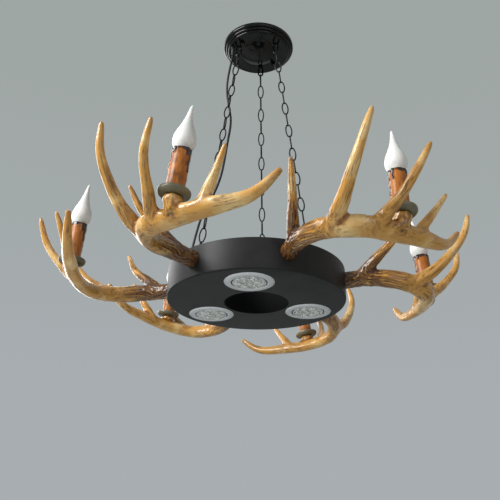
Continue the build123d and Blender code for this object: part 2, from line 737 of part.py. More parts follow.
bulb_rings = (
    (holder_top + bulb_gap, 7.4), (64, 8.4), (sleeve_top, bulb_mouth_radius), (79, 15.6), (bulb_belly, bulb_radius),
    (93, 17.2), (101, 15.2), (110, 11.8), (120, 8.2), (130, 5.4), (141, 3.4), (150, 2.2), (bulb_tip, bulb_tip_radius * 0.6),
)
with BuildPart() as bulb:
    for z, radius in bulb_rings:
        rise = max(0.0, (z - bulb_belly) / (bulb_tip - bulb_belly))
        with BuildSketch(Plane((bulb_bend * rise**2, 0, z))):
            RegularPolygon(radius, bulb_sides)
    loft(ruled=True)

for number in range(len(antler_azimuths)):
    place = on_drum(number)
    with BuildPart() as seated:
        add(antler.part.moved(place))
        with BuildSketch(Plane.XY.offset(floor_z)):
            Circle(drum_radius)
        extrude(amount=drum_height, mode=Mode.SUBTRACT)
    write(seated.part, f"antler_{number + 1}")
    candle = place * candle_plane.location
    write(bulb_cap.part.moved(candle), f"bulb_{number + 1}_cap")
    write(bulb.part.moved(candle), f"bulb_{number + 1}_glass")

for name, piece, moved_to in (
    ("antler_bolts", bolt.part, Location()),
    ("antler_saddles", saddle.part, Location()),
    ("candle_pans", pan.part, candle_plane.location),
    ("candle_sleeves", sleeve.part, candle_plane.location),
    ("candle_nipples", nipple.part, candle_plane.location),
    ("lampholders", holder.part, candle_plane.location),
):
    rolled = name.startswith(("candle", "lamp"))
    with BuildPart() as group:
        for number in range(len(antler_azimuths)):
            add(piece.moved(on_drum(number, rolled) * moved_to))
    write(group.part, name)
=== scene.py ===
"""Looks of an antler chandelier: resin antlers, wax candle lamps, chains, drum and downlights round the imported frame.

Metres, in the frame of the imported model: z = 0 is the ceiling, azimuths count from -Y towards +X.
"""

import json
from math import atan2, cos, exp, pi, radians, sin, sqrt

import bmesh
import bpy
import numpy as np
from bpy.props import FloatProperty, FloatVectorProperty, IntProperty, PointerProperty
from bpy.types import Operator, Panel, PropertyGroup
from mathutils import Matrix, Vector, noise


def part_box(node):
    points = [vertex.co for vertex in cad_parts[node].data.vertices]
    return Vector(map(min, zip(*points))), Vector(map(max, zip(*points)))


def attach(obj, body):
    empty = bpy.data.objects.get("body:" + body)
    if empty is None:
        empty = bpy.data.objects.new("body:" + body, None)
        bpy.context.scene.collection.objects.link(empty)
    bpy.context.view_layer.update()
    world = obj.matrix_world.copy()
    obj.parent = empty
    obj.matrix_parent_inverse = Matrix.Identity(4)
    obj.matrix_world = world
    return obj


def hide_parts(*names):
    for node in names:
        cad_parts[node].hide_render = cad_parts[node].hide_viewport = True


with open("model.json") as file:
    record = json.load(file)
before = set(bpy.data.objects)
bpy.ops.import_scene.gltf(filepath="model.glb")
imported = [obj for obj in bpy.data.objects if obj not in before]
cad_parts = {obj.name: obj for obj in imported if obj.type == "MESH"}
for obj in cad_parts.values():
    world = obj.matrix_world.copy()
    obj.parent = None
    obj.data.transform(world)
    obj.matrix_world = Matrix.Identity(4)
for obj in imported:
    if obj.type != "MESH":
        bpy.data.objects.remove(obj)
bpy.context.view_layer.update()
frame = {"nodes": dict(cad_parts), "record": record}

bl_info = {
    "name": "Antler chandelier",
    "version": (1, 0, 0),
    "blender": (4, 5, 0),
    "location": "View3D > Sidebar > Chandelier",
    "description": "Dresses a chain-hung antler light: antlers, candle lamps, chains, drum and downlights",
    "category": "Add Mesh",
}

MM = 0.001
MERGE = 1e-6                                # points closer than this are one
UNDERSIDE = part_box("drum_shell")[0].z       # underside of the drum
# Nearer the axis than HOLE_WALL the drum's paint is dull, and its colour is darker as painted shade.
HOLE_WALL = 58 * MM                         # nearer the axis the drum is its hole's dull wall
BOLT_HEIGHT = 33 * MM                       # antler bolts above the drum's underside
# Azimuths of the chains, spots and antlers, and the antlers' leans about their bolts, in degrees.
CHAINS = {"left": -60.0, "right": 60.0, "far": 180.0}
SPOTS = {1: 0.0, 2: 120.0, 3: 240.0}
ANTLER_TURNS = {1: -35.0, 2: 25.0, 3: 85.0, 4: 145.0, 5: 202.5, 6: 265.0}
ANTLER_ROLLS = {1: -2.0, 2: 0.0, 3: -1.0, 4: -7.0, 5: 7.0, 6: 2.0}


def polar(azimuth, radius, z=0.0):
    """A point at an azimuth counted from -Y towards +X."""
    return Vector((radius * sin(radians(azimuth)), -radius * cos(radians(azimuth)), z))


# ---- sizes and colours a user would change ----
def number(name, text, default, **kind):
    return FloatProperty(name=name, description=text, default=default, **kind)


def size(name, text, millimetres, smallest=0.0):
    return number(name, text, millimetres * MM, min=smallest * MM, unit="LENGTH", precision=4)


def colour(name, text, default):
    return FloatVectorProperty(name=name, description=text, default=default, min=0, max=1, size=3, subtype="COLOR")


class ChainSizes(PropertyGroup):
    """Sizes of the chains and the cord."""

    wire: size("Link wire", "Diameter of the wire of a link", 2.8)
    half_width: size("Link half width", "Axis of a link to the middle of its wire", 5.6)
    end_radius: size("Link end", "Radius of a link's two ends, to the middle of the wire", 3.6)
    links: IntProperty(name="Links", description="Links in one chain", default=17, min=2)
    slack: size("Slack", "Clearance between two links", 0.05)
    cord: size("Cord", "Diameter of the supply cord", 4.6)


class AntlerSizes(PropertyGroup):
    """Sizes of the antlers' surface."""

    grain: size("Mesh grain", "Edge length of the antlers' mesh", 1.6, 0.5)
    bark: size("Bark", "Height of the bark ridges near the foot", 1.7)
    web: size("Web", "Width of the webs where tines meet the beam", 9.0)


class CandleSizes(PropertyGroup):
    """Sizes of the candle lamps."""

    pan: size("Pan", "Radius of the drip pan", 24)
    sleeve: size("Sleeve", "Radius of the wax sleeve", 13.4)
    sleeve_top: size("Sleeve top", "Height of the sleeve above the pan's middle", 72)
    drip: size("Drip", "How far a wax drip stands out", 2.0)
    bulb: size("Bulb", "Radius of the bulb", 17.4)
    bulb_tip: size("Bulb tip", "Height of the bulb's tip above the pan's middle", 153.5)
    bend: size("Tip bend", "How far the bulb's tip bends in towards the drum", 2.5)


class LampColours(PropertyGroup):
    """Colours of the finishes, as linear values."""

    antler_light: colour("Antler, light", "Worn, polished resin", (0.63, 0.315, 0.062))
    antler_pale: colour("Antler, pale", "Palest resin, on worn crests", (0.86, 0.58, 0.24))
    antler_stain: colour("Antler, stain", "Golden brown wash", (0.30, 0.108, 0.014))
    antler_dark: colour("Antler, dark", "Brown lines along the grain", (0.085, 0.025, 0.005))
    antler_bark: colour("Antler, bark", "Darkest stain in the furrows", (0.028, 0.009, 0.004))
    wax: colour("Wax", "Candle sleeve", (0.42, 0.135, 0.018))
    wax_light: colour("Wax, light", "Pale fibres of the sleeve", (0.68, 0.30, 0.06))
    wax_deep: colour("Wax, deep", "Brown blotches of the sleeve", (0.13, 0.035, 0.008))
    wax_drip: colour("Wax drips", "Dark drips and rim of the sleeve", (0.035, 0.010, 0.004))
    pan: colour("Pan", "Drip pan's paint", (0.125, 0.11, 0.062))
    bulb: colour("Bulb", "Frosted glass", (0.86, 0.87, 0.84))
    black: colour("Black", "Drum's textured paint", (0.014, 0.0138, 0.0145))
    # The hole colour is painted shade: the drum's own black, made darker inside its hole.
    hole: colour("Hole", "Wall of the drum's hole", (0.004, 0.004, 0.0042))
    gloss_black: colour("Gloss black", "Canopy's enamel", (0.0028, 0.0025, 0.0026))
    silver: colour("Silver", "Satin trim of the spots", (0.88, 0.88, 0.90))
    # Painted light on the lens facets: the lens colour is a painted glint, and the grey one below it is painted shade.
    lens: colour("Lens", "Bright side of the lens facets", (0.99, 0.99, 0.97))
    lens_grey: colour("Lens, grey", "Dull side of the lens facets", (0.36, 0.37, 0.35))
    holder: colour("Lampholder", "White plastic", (0.7, 0.7, 0.66))
    zinc: colour("Zinc", "Plated steel", (0.5, 0.51, 0.52))
    brass: colour("Brass", "Caps of the bulbs", (0.62, 0.46, 0.2))
    floor: colour("Floor", "Pale paint", (0.50, 0.54, 0.53))
    floor_pale: colour("Floor, pale", "Palest paint", (0.54, 0.58, 0.57))
    backdrop: colour("Backdrop", "Wall behind the lamp, high up", (0.345, 0.382, 0.37))
    backdrop_low: colour("Backdrop, low", "Wall behind the lamp, low down", (0.392, 0.42, 0.44))


class StageSettings(PropertyGroup):
    """Camera and light."""

    lens: number("Lens", "Focal length in millimetres on a 36 mm sensor", 44.97, min=1)
    pitch: number("Pitch", "Camera's climb", 0.4283, subtype="ANGLE")
    yaw: number("Yaw", "Camera's turn", -0.1237, subtype="ANGLE")
    roll: number("Roll", "Camera's lean", 0.0134, subtype="ANGLE")
    key: number("Key", "Power of the left front softbox in watts", 76.0, min=0)
    window: number("Window", "Power of the softbox behind on the left", 52.0, min=0)
    fill: number("Fill", "Power of the right front softbox in watts", 9.0, min=0)
    room: number("Room", "Strength of the room's light", 0.2, min=0)


GROUPS = {
    "lamp_chains": ChainSizes,
    "lamp_antlers": AntlerSizes,
    "lamp_candles": CandleSizes,
    "lamp_colours": LampColours,
    "lamp_stage": StageSettings,
}


# ---- finishes ----
MIX_FACTOR, MIX_FIRST, MIX_SECOND, MIX_RESULT = 0, 6, 7, 2      # a Mix node's sockets for colours


class Signal:
    """What a socket gives; arithmetic on it adds Math nodes."""

    def __init__(self, nodes, socket):
        self.nodes = nodes
        self.socket = socket

    def math(self, operation, first, second):
        return self.nodes.node("Math", {"operation": operation}, {0: first, 1: second})

    def __add__(self, other):
        return self.math("ADD", self, other)

    __radd__ = __add__

    def __sub__(self, other):
        return self.math("SUBTRACT", self, other)

    def __rsub__(self, other):
        return self.math("SUBTRACT", other, self)

    def __mul__(self, other):
        return self.math("MULTIPLY", self, other)

    __rmul__ = __mul__

    def between(self, low, high):
        """0 below low, 1 above high, smooth between."""
        sockets = {"Value": self, "From Min": low, "From Max": high}
        return self.nodes.node("MapRange", {"interpolation_type": "SMOOTHSTEP"}, sockets)


class Nodes:
    """The node tree of a material or a world, in the making."""

    def __init__(self, owner):
        owner.use_nodes = True
        self.tree = owner.node_tree

    def plug(self, socket, value):
        """Links a signal to a socket, or sets the socket to a plain value."""
        if isinstance(value, Signal):
            self.tree.links.new(value.socket, socket)
        elif socket.type == "RGBA":
            socket.default_value = (*value, 1.0)
        else:
            socket.default_value = value

    def node(self, kind, settings, sockets, output=0):
        """Adds a node: its settings first, then the values or links of its sockets."""
        made = self.tree.nodes.new("ShaderNode" + kind)
        for key, value in settings.items():
            setattr(made, key, value)
        for key, value in sockets.items():
            self.plug(made.inputs[key], value)
        return Signal(self, made.outputs[output])

    def mix(self, first, second, factor):
        sockets = {MIX_FACTOR: factor, MIX_FIRST: first, MIX_SECOND: second}
        return self.node("Mix", {"data_type": "RGBA"}, sockets, MIX_RESULT)

    def rays(self, *kinds):
        """1 for the kinds of ray named, such as Camera."""
        return sum(self.node("LightPath", {}, {}, f"Is {kind} Ray") for kind in kinds)

    def surface(self, first, second, factor):
        """Mixes two shaders for the tree's output."""
        mixed = self.node("MixShader", {}, {0: factor, 1: first, 2: second})
        end = next(node for node in self.tree.nodes if node.type.startswith("OUTPUT"))
        self.plug(end.inputs["Surface"], mixed)


class Finish(Nodes):
    """A material: its shader and the nodes that feed it."""

    def __init__(self, name, **values):
        self.material = bpy.data.materials.new(name)
        super().__init__(self.material)
        self.shader = self.tree.nodes["Principled BSDF"]
        self.set(**values)

    def set(self, **values):
        """Sets or links the shader's sockets: base_color is the socket Base Color."""
        for key, value in values.items():
            words = key.replace("_", " ").title().replace("Ior", "IOR")
            self.plug(self.shader.inputs[words], value)

    def place(self):
        return self.node("TexCoord", {}, {}, "Object")

    def attribute(self, name, output="Fac"):
        return self.node("Attribute", {"attribute_name": name}, {}, output)

    def noise(self, vector, scale, detail, rough):
        sockets = {"Vector": vector, "Scale": scale, "Detail": detail, "Roughness": rough}
        return self.node("TexNoise", {}, sockets, "Fac")

    def grained(self, grain, stretch, scale, detail, rough):
        """Noise drawn out along the grain: a lower stretch is longer."""
        along = self.node("Mapping", {}, {"Vector": grain, "Scale": (1, 1, stretch)})
        return self.noise(along, scale, detail, rough)

    def bump(self, height, distance, strength):
        sockets = {"Height": height, "Distance": distance, "Strength": strength}
        self.set(normal=self.node("Bump", {}, sockets, "Normal"))


def shade_of(name):
    return tuple(getattr(bpy.context.scene.lamp_colours, name))


def scaled(shade, factor, lift=0.0):
    """The colour made lighter or darker."""
    return tuple(min(1.0, part * factor + lift) for part in shade)


def antler_resin():
    """Cast resin with a brown wash: pale worn crests, stain along the grain, near black furrows towards the foot, and
    darker in broad hollows and where limbs join, partly as painted shade.
    """
    f = Finish("antler_resin", coat_roughness=0.1, specular_ior_level=0.35)
    light, pale, stain, brown, darkest = (
        shade_of(f"antler_{tone}") for tone in ("light", "pale", "stain", "dark", "bark")
    )
    bark, furrow, valley, share, join = (
        f.attribute(name) for name in ("bark", "furrow", "valley", "share", "join")
    )
    grain = f.attribute("grain", "Vector")
    streaks = f.grained(grain, 0.1, 300, 5, 0.6)
    bands = f.grained(grain, 0.2, 70, 4, 0.6)
    clouds = f.noise(f.place(), 22, 3, 0.5)
    patches = f.noise(f.place(), 34, 3, 0.6)
    specks = f.noise(f.place(), 260, 3, 0.6)

    # wash: worn crests to stain to brown, heavier in the bark; heavier too in broad hollows and where limbs join, which
    # is partly a brown wash and partly painted shade
    worn = f.mix(light, pale, (clouds - bark * 0.2 - join * 0.1).between(0.40, 0.66))
    wash = bands * (0.65 - join * 0.3) + bark * 0.36 + valley * 0.35 + join * 0.36
    wash = wash + clouds * 0.3 + (streaks - 0.5) * 0.45
    tawny = f.mix(worn, stain, wash.between(0.48, 0.96))
    heavy = bark * 0.74 + bands * 0.62 + join * valley * 0.25 + (patches - 0.5) * 0.5
    deep = f.mix(tawny, brown, heavy.between(0.72, 1.22) * 0.92)

    # lines along the grain, and long thin veins where the grain's noise crosses its middle
    lines = (streaks + patches * 0.3 + bark * 0.2).between(0.70, 0.82) * (0.15 + bark * 0.7)
    lined = f.mix(deep, brown, lines)
    offset = f.grained(grain, 0.05, 190, 3, 0.55) - 0.5
    thin = 1 - (offset * offset).between(0.0001, 0.0016)
    veins = thin * (patches + bark * 0.4 - join * 0.28).between(0.48, 0.72)
    veined = f.mix(lined, brown, veins * 0.75)

    # near black in furrows and specks, stain on the tips
    spotted = patches.between(0.48, 0.60) * (0.35 + join * 0.5) + bark * 0.8
    cracks = furrow * (0.15 + bark * 0.85) + specks.between(0.60, 0.70) * spotted
    dark = cracks.between(0.18, 0.72)
    stained = f.mix(veined, darkest, dark * 0.9)
    tipped = f.mix(stained, stain, share.between(0.86, 1.0) * 0.45)
    f.set(base_color=tipped, roughness=0.32 + streaks * 0.1 + dark * 0.2, coat_weight=0.6 - dark * 0.3)
    f.bump(streaks * (0.3 + bark * 0.7) + specks * 0.3 + bands * 0.4, 0.9 * MM, 0.7)
    return f.material


def candle_wax():
    """Brown wax look: fine upright grain, dark drips and rim."""
    f = Finish("candle_wax", coat_roughness=0.15, specular_ior_level=0.3)
    grain = f.attribute("grain", "Vector")
    fibres = f.grained(grain, 0.09, 420, 4, 0.6)
    blotches = f.grained(grain, 0.5, 120, 3, 0.55)
    uneven = (fibres - 0.5) * 0.5
    base = f.mix(shade_of("wax"), shade_of("wax_light"), fibres.between(0.5, 0.68) * 0.7)
    shaded = f.mix(base, shade_of("wax_deep"), (blotches + uneven).between(0.5, 0.72) * 0.75)
    dark = (f.attribute("drip") + uneven).between(0.3, 0.62)
    f.set(base_color=f.mix(shaded, shade_of("wax_drip"), dark))
    f.set(roughness=0.4 - dark * 0.14, coat_weight=0.12 + dark * 0.4)
    f.bump(fibres + blotches * 0.6, 0.5 * MM, 0.6)
    return f.material


def drum_paint():
    """Textured black paint: satin on the wall, dull in the hole, where a darker colour is painted shade."""
    f = Finish("drum_black", specular_ior_level=0.12, coat_roughness=0.42)
    black = shade_of("black")
    fine = f.noise(f.place(), 1500, 3, 0.6)
    broad = f.noise(f.place(), 30, 3, 0.5)
    flat = f.node("VectorMath", {"operation": "MULTIPLY"}, {0: f.place(), 1: (1, 1, 0)}, "Vector")
    radius = f.node("VectorMath", {"operation": "LENGTH"}, {0: flat}, "Value")
    # Painted shade: inside the hole's wall the black gives way to the darker hole colour.
    outside = radius.between(HOLE_WALL - 0.5 * MM, HOLE_WALL + 0.5 * MM)
    inside = f.mix(shade_of("hole"), black, outside)
    f.set(base_color=f.mix(inside, scaled(black, 1.35), broad.between(0.35, 0.7) * outside))
    f.set(roughness=0.85 - outside * 0.36 + (fine - 0.5) * 0.16, coat_weight=outside * 0.22)
    f.bump(fine, 0.05 * MM, 0.6)
    return f.material


def painted(name, tone, rough, grain, height, worn, values):
    """Paint with a fine texture."""
    f = Finish(name, **values)
    shade = shade_of(tone)
    fine = f.noise(f.place(), grain, 3, 0.6)
    broad = f.noise(f.place(), 30, 3, 0.5)
    f.set(base_color=f.mix(shade, scaled(shade, 1 + worn, 0.004), broad.between(0.35, 0.7)))
    f.set(roughness=rough + (fine - 0.5) * 0.16)
    f.bump(fine, height * MM, 0.6)
    return f.material


def satin_metal(name, tone, rough, grain):
    """Bare metal with fine speckle."""
    f = Finish(name, metallic=1.0)
    shade = shade_of(tone)
    speckle = f.noise(f.place(), grain, 2, 0.7)
    f.set(base_color=f.mix(scaled(shade, 0.72), shade, speckle.between(0.35, 0.62)))
    f.set(roughness=rough + (speckle - 0.5) * 0.2)
    f.bump(speckle, 0.12 * MM, 0.4)
    return f.material


def frosted_glass():
    """Milky bulb glass, faintly clouded."""
    f = Finish("frosted_glass", subsurface_weight=0.12, subsurface_scale=0.01, coat_roughness=0.2, ior=1.45)
    cloud = f.noise(f.place(), 45, 2, 0.5)
    shade = shade_of("bulb")
    f.set(base_color=f.mix(scaled(shade, 0.9), shade, cloud.between(0.3, 0.6)))
    f.set(roughness=0.46 + (cloud - 0.5) * 0.1, coat_weight=0.14)
    f.bump(f.noise(f.place(), 1600, 2, 0.6), 0.05 * MM, 0.3)
    return f.material


def clear_lens():
    """Clear moulded plastic over a bright reflector, as one skin whose glitter is painted into its colour: painted
    glints on the facets and painted shade between them.
    """
    f = Finish("clear_lens", coat_roughness=0.04, specular_ior_level=0.7, metallic=0.25)
    facets = f.node("TexVoronoi", {"feature": "F1"}, {"Vector": f.place(), "Scale": 300.0}, "Distance")
    rays = f.noise(f.place(), 420, 2, 0.6)
    # Painted glints: bright colour in the middle of each facet, grey painted shade towards its edges.
    painted_glints = (facets + (rays - 0.5) * 0.9).between(0.25, 0.7)
    f.set(base_color=f.mix(shade_of("lens"), shade_of("lens_grey"), painted_glints))
    f.set(roughness=0.14 + facets * 0.2, coat_weight=0.6 + facets * 0.2)
    f.bump(facets, 0.9 * MM, 0.9)
    return f.material


# Paints: colour, roughness, scale of the texture, its bump in millimetres, how much lighter worn places are, and more.
PAINTS = {
    "black_gloss": ("gloss_black", 0.2, 60, 0.01, 0.2,
                    {"specular_ior_level": 0.1, "coat_weight": 0.35, "coat_roughness": 0.12}),
    "chain_black": ("gloss_black", 0.5, 900, 0.08, 0.3, {"specular_ior_level": 0.25}),
    "black_plastic": ("black", 0.5, 1200, 0.05, 0.25, {}),
    "cord_black": ("gloss_black", 0.55, 1600, 0.05, 0.25, {}),
    "pan_olive": ("pan", 0.4, 260, 0.15, 0.55, {"coat_roughness": 0.3, "coat_weight": 0.2}),
    "holder_white": ("holder", 0.5, 700, 0.04, 0.1, {}),
}
# Metals: colour, roughness and scale of the speckle.
METALS = {"satin_silver": ("silver", 0.38, 900), "zinc_steel": ("zinc", 0.34, 500), "bulb_brass": ("brass", 0.3, 500)}


def make_finishes():
    """Every finish by its slot's name."""
    finishes = {
        "antler_resin": antler_resin(),
        "wax_brown": candle_wax(),
        "frosted_glass": frosted_glass(),
        "led_lens": clear_lens(),
        "drum_black": drum_paint(),
    }
    finishes.update({name: painted(name, *values) for name, values in PAINTS.items()})
    finishes.update({name: satin_metal(name, *values) for name, values in METALS.items()})
    return finishes


FINISHES = {}


# ---- modelling helpers ----
def sealed(bm, gap=MERGE):
    """Merges what lies together and points the faces outwards."""
    bmesh.ops.remove_doubles(bm, verts=bm.verts, dist=gap)
    bmesh.ops.dissolve_degenerate(bm, edges=bm.edges, dist=MERGE / 10)
    bmesh.ops.recalc_face_normals(bm, faces=bm.faces)
    return bm


def turned(outline, steps=96, closed=True):
    """A solid turned round Z from (radius, height) points; an open outline has both ends on the axis."""
    bm = bmesh.new()
    ring = [bm.verts.new((radius, 0, height)) for radius, height in outline]
    after = ring[1:] + ring[:1] if closed else ring[1:]
    edges = [bm.edges.new(pair) for pair in zip(ring, after)]
    axis = {"cent": (0, 0, 0), "axis": (0, 0, 1), "angle": 2 * pi}
    bmesh.ops.spin(bm, geom=ring + edges, steps=steps, use_merge=True, **axis)
    return sealed(bm)


def rounded(outline, radius, segments=3, keep=()):
    """The outline with its corners rounded; the corners named in keep stay sharp."""
    made = []
    count = len(outline)
    for i, here in enumerate(outline):
        before, here, after = Vector(outline[i - 1]), Vector(here), Vector(outline[(i + 1) % count])
        if i in keep:
            made.append(tuple(here))
            continue
        reach = min(radius, 0.45 * (before - here).length, 0.45 * (after - here).length)
        start = here + (before - here).normalized() * reach
        end = here + (after - here).normalized() * reach
        for step in range(segments + 1):
            t = step / segments
            made.append(tuple(start * (1 - t) ** 2 + here * 2 * t * (1 - t) + end * t**2))
    return made


def piece(bm, name, body, finish, replaced=(), place=Matrix(), sharp=35.0):
    """Turns a bmesh into a named piece: smooth with sharp edges, riding on a body, standing for CAD nodes."""
    bmesh.ops.transform(bm, matrix=place, verts=bm.verts)
    for face in bm.faces:
        face.smooth = True
    for edge in bm.edges:
        edge.smooth = not edge.is_manifold or edge.calc_face_angle(0) < radians(sharp)
    mesh = bpy.data.meshes.new(name)
    bm.to_mesh(mesh)
    bm.free()
    return dressed(bpy.data.objects.new(name, mesh), body, finish, replaced)


def dressed(made, body, finish, replaced=()):
    """Links a piece, gives it its finish and slot, and lets it ride."""
    bpy.context.scene.collection.objects.link(made)
    made.data.materials.append(FINISHES[finish])
    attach(made, body)
    if replaced:
        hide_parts(*replaced)
    return made


def from_object(source):
    """A bmesh of the object with its modifiers applied."""
    graph = bpy.context.evaluated_depsgraph_get()
    mesh = bpy.data.meshes.new_from_object(source.evaluated_get(graph))
    bm = bmesh.new()
    bm.from_mesh(mesh)
    bpy.data.meshes.remove(mesh)
    return bm


def add_copy(bm, source, matrix):
    """Adds a copy of another bmesh at a place."""
    mesh = bpy.data.meshes.new("copy")
    source.to_mesh(mesh)
    mesh.transform(matrix)
    bm.from_mesh(mesh)
    bpy.data.meshes.remove(mesh)


# ---- antlers ----
# Millimetres in the antler's own frame: +X out from the drum, +Z up. A limb is its points, the direction its oval
# sections are widest in, rings of (share of the length, widest radius, thinnest radius), and the length of beam
# before its root.
BEAM = (
    ((157, 0, 33), (214, 0, 34), (264.5, 13.5, 28), (299, 54.5, 22.5), (299, 110.5, 22), (283.5, 167.5, 27),
     (262, 221, 36), (245, 263, 73)),
    (0.77, 0, 0.64),
    ((0, 14.8, 14.4), (0.1, 14.6, 13.6), (0.2, 16, 13.4), (0.3, 17.2, 13), (0.39, 18, 12.4), (0.5, 16.8, 11.6),
     (0.62, 15.6, 10.8), (0.7, 14.4, 10.2), (0.78, 11.5, 8.8), (0.86, 9, 7.6), (0.93, 6.8, 6.2), (0.98, 4.6, 4.4),
     (1, 2.2, 2.2)),
    0,
)
BROW_TINE = (
    ((184, 0, 34), (218, -15.5, 66), (250, -29, 95), (274, -40, 136.5)),
    (0, 1, 0),
    ((0, 12.5, 12.5), (0.2, 10.6, 10.6), (0.42, 8.1, 8.1), (0.7, 6.2, 6.2), (0.92, 4.2, 4.2), (0.98, 3, 3),
     (1, 1.6, 1.6)),
    27,
)
SECOND_TINE = (
    ((273.5, 22, 26), (316.5, 20, 51), (349.5, 21, 84), (375, 26, 122), (387.5, 37.5, 166)),
    (0, 1, 0),
    ((0, 15, 13), (0.18, 12.8, 11.2), (0.34, 10.2, 9.2), (0.6, 8.1, 7.7), (0.85, 6, 5.8), (0.95, 4.4, 4.4),
     (1, 1.8, 1.8)),
    118,
)
THIRD_TINE = (
    ((303, 73, 22), (335.5, 95.5, 52.5), (363, 114, 91), (373.5, 136.5, 137.5)),
    (0, 1, 0),
    ((0, 13, 11.5), (0.2, 10.4, 9.6), (0.4, 7.9, 7.5), (0.7, 6.5, 6.3), (0.92, 4.6, 4.6), (0.98, 3, 3), (1, 1.6, 1.6)),
    180,
)
FOURTH_TINE = (
    ((287, 149, 25), (290.5, 167.5, 49), (295, 187, 75), (300.5, 207, 103.5)),
    (1, 0, 0),
    ((0, 11.5, 10.5), (0.25, 9.2, 8.8), (0.5, 6.9, 6.7), (0.8, 4.9, 4.8), (0.94, 3.6, 3.6), (1, 1.5, 1.5)),
    262,
)
CANDLE_FOOT = Vector((307.5, 118.0, 51.4))
CANDLE_LEAN = Vector((-0.081, 0.037, 1.0)).normalized()
CANDLE_CUP = (
    tuple(tuple(CANDLE_FOOT + CANDLE_LEAN * height) for height in (-30, -20, -10, -4.8)),
    (1, 0, 0),
    ((0, 8, 8), (0.35, 10.5, 10.5), (0.7, 14.2, 14.2), (0.9, 14.8, 14.8), (1, 13.3, 13.3)),
    228,
)
LIMBS = (BEAM, BROW_TINE, SECOND_TINE, THIRD_TINE, FOURTH_TINE, CANDLE_CUP)
BEAM_NUMBER, BROW_NUMBER, CUP_NUMBER = 0, 1, 5
BARK_REACH = 95.0           # millimetres of beam that carry heavy bark
LIMB_SAMPLES = 120          # steps along a limb's line
SKIN_STEP = 3               # every so many steps a ring of the skin
BATCH = 6000                # points measured at a time
MEET = 4.0                  # millimetres over which one limb's grain turns into the next one's
JOIN_REACH = 7.0            # millimetres from a join that carry its stain
WEB_ROUNDS, SKIN_ROUNDS = 26, 4             # rounds of smoothing in the webs and all over
# The broad hollow mask darkens the antlers' hollows, partly as painted shade.
FURROW_GAIN, VALLEY_GAIN = 12, 60           # from millimetres of hollow to a mask


def smooth_line(points, samples):
    """Points evenly spaced along a smooth line through the given ones."""
    knots = np.array(points, float)
    chord = np.concatenate([[0], np.cumsum(np.sqrt(np.linalg.norm(np.diff(knots, axis=0), axis=1)))])
    padded = np.vstack([2 * knots[0] - knots[1], knots, 2 * knots[-1] - knots[-2]])
    times = np.concatenate([[2 * chord[0] - chord[1]], chord, [2 * chord[-1] - chord[-2]]])
    line = []
    for t in np.linspace(chord[0], chord[-1], samples * 4):
        i = min(int(np.searchsorted(chord, t, side="right")), len(chord) - 1)
        p, q = padded[i - 1:i + 3], times[i - 1:i + 3]
        a = [p[k] + (p[k + 1] - p[k]) * (t - q[k]) / (q[k + 1] - q[k]) for k in range(3)]
        b = [a[k] + (a[k + 1] - a[k]) * (t - q[k]) / (q[k + 2] - q[k]) for k in range(2)]
        line.append(b[0] + (b[1] - b[0]) * (t - q[1]) / (q[2] - q[1]))
    line = np.array(line)
    along = np.concatenate([[0], np.cumsum(np.linalg.norm(np.diff(line, axis=0), axis=1))])
    even = np.linspace(0, along[-1], samples)
    return np.column_stack([np.interp(even, along, line[:, k]) for k in range(3)]), even


class Limb:
    """One limb's centre line, section radii and section directions at even steps."""

    def __init__(self, points, widest, rings, before):
        self.line, self.along = smooth_line(points, LIMB_SAMPLES)
        self.before = before
        self.share = self.along / self.along[-1]
        self.wide = np.interp(self.share, [ring[0] for ring in rings], [ring[1] for ring in rings])
        self.thin = np.interp(self.share, [ring[0] for ring in rings], [ring[2] for ring in rings])
        tangent = np.gradient(self.line, axis=0)
        self.tangent = tangent / np.linalg.norm(tangent, axis=1)[:, None]
        side = np.cross(np.array(widest, float), self.tangent)
        self.side = side / np.linalg.norm(side, axis=1)[:, None]
        self.up = np.cross(self.tangent, self.side)

    def skin(self, bm, sides=20):
        """Adds the limb's closed skin: a ring carried along the line by extruding it."""
        ring = bmesh.ops.create_circle(bm, segments=sides, radius=1.0, cap_ends=False)["verts"]
        edges = list({edge for vert in ring for edge in vert.link_edges})
        bm.faces.new(ring)
        for step in range(0, LIMB_SAMPLES, SKIN_STEP):
            if step:
                grown = bmesh.ops.extrude_edge_only(bm, edges=edges)["geom"]
                ring = [part for part in grown if isinstance(part, bmesh.types.BMVert)]
                edges = [part for part in grown if isinstance(part, bmesh.types.BMEdge)]
            across, over = self.side[step] * self.thin[step], self.up[step] * self.wide[step]
            for corner, vert in enumerate(ring):
                turn = 2 * pi * corner / sides
                vert.co = self.line[step] + across * cos(turn) + over * sin(turn)
        bm.faces.new(ring)

    def near(self, spots):
        """For points: gap to the skin, grain coordinates and share of the length at the nearest step."""
        gap, grain, share = [], [], []
        radius = (self.wide + self.thin) / 2
        for start in range(0, len(spots), BATCH):
            away = spots[start:start + BATCH, None, :] - self.line[None, :, :]
            step = (np.linalg.norm(away, axis=2) - radius[None, :]).argmin(axis=1)
            offset = away[np.arange(len(step)), step]
            x = (offset * self.side[step]).sum(axis=1)
            y = (offset * self.up[step]).sum(axis=1)
            z = (offset * self.tangent[step]).sum(axis=1)
            out = np.sqrt((x / self.thin[step]) ** 2 + (y / self.wide[step]) ** 2 + (z / radius[step]) ** 2)
            gap.append((out - 1) * self.thin[step])
            grain.append(np.column_stack([x, y, self.before + self.along[step] + z]))
            share.append(self.share[step])
        return np.concatenate(gap), np.concatenate(grain), np.concatenate(share)


def bark_strength(number, grain, share):
    """How heavy the bark is on a limb: most at the beam's foot, on the brow tine and at the tines' roots."""
    if number == BEAM_NUMBER:
        return np.clip(1.3 - grain[:, 2] / BARK_REACH * 0.75, 0.2, 1) * (1 - share * 0.65)
    if number == CUP_NUMBER:
        return np.full(len(share), 0.6)
    if number == BROW_NUMBER:
        return np.clip(1.1 - share * 0.75, 0.3, 1)
    return 0.45 * np.clip(1 - share * 1.5, 0, 1) + 0.08


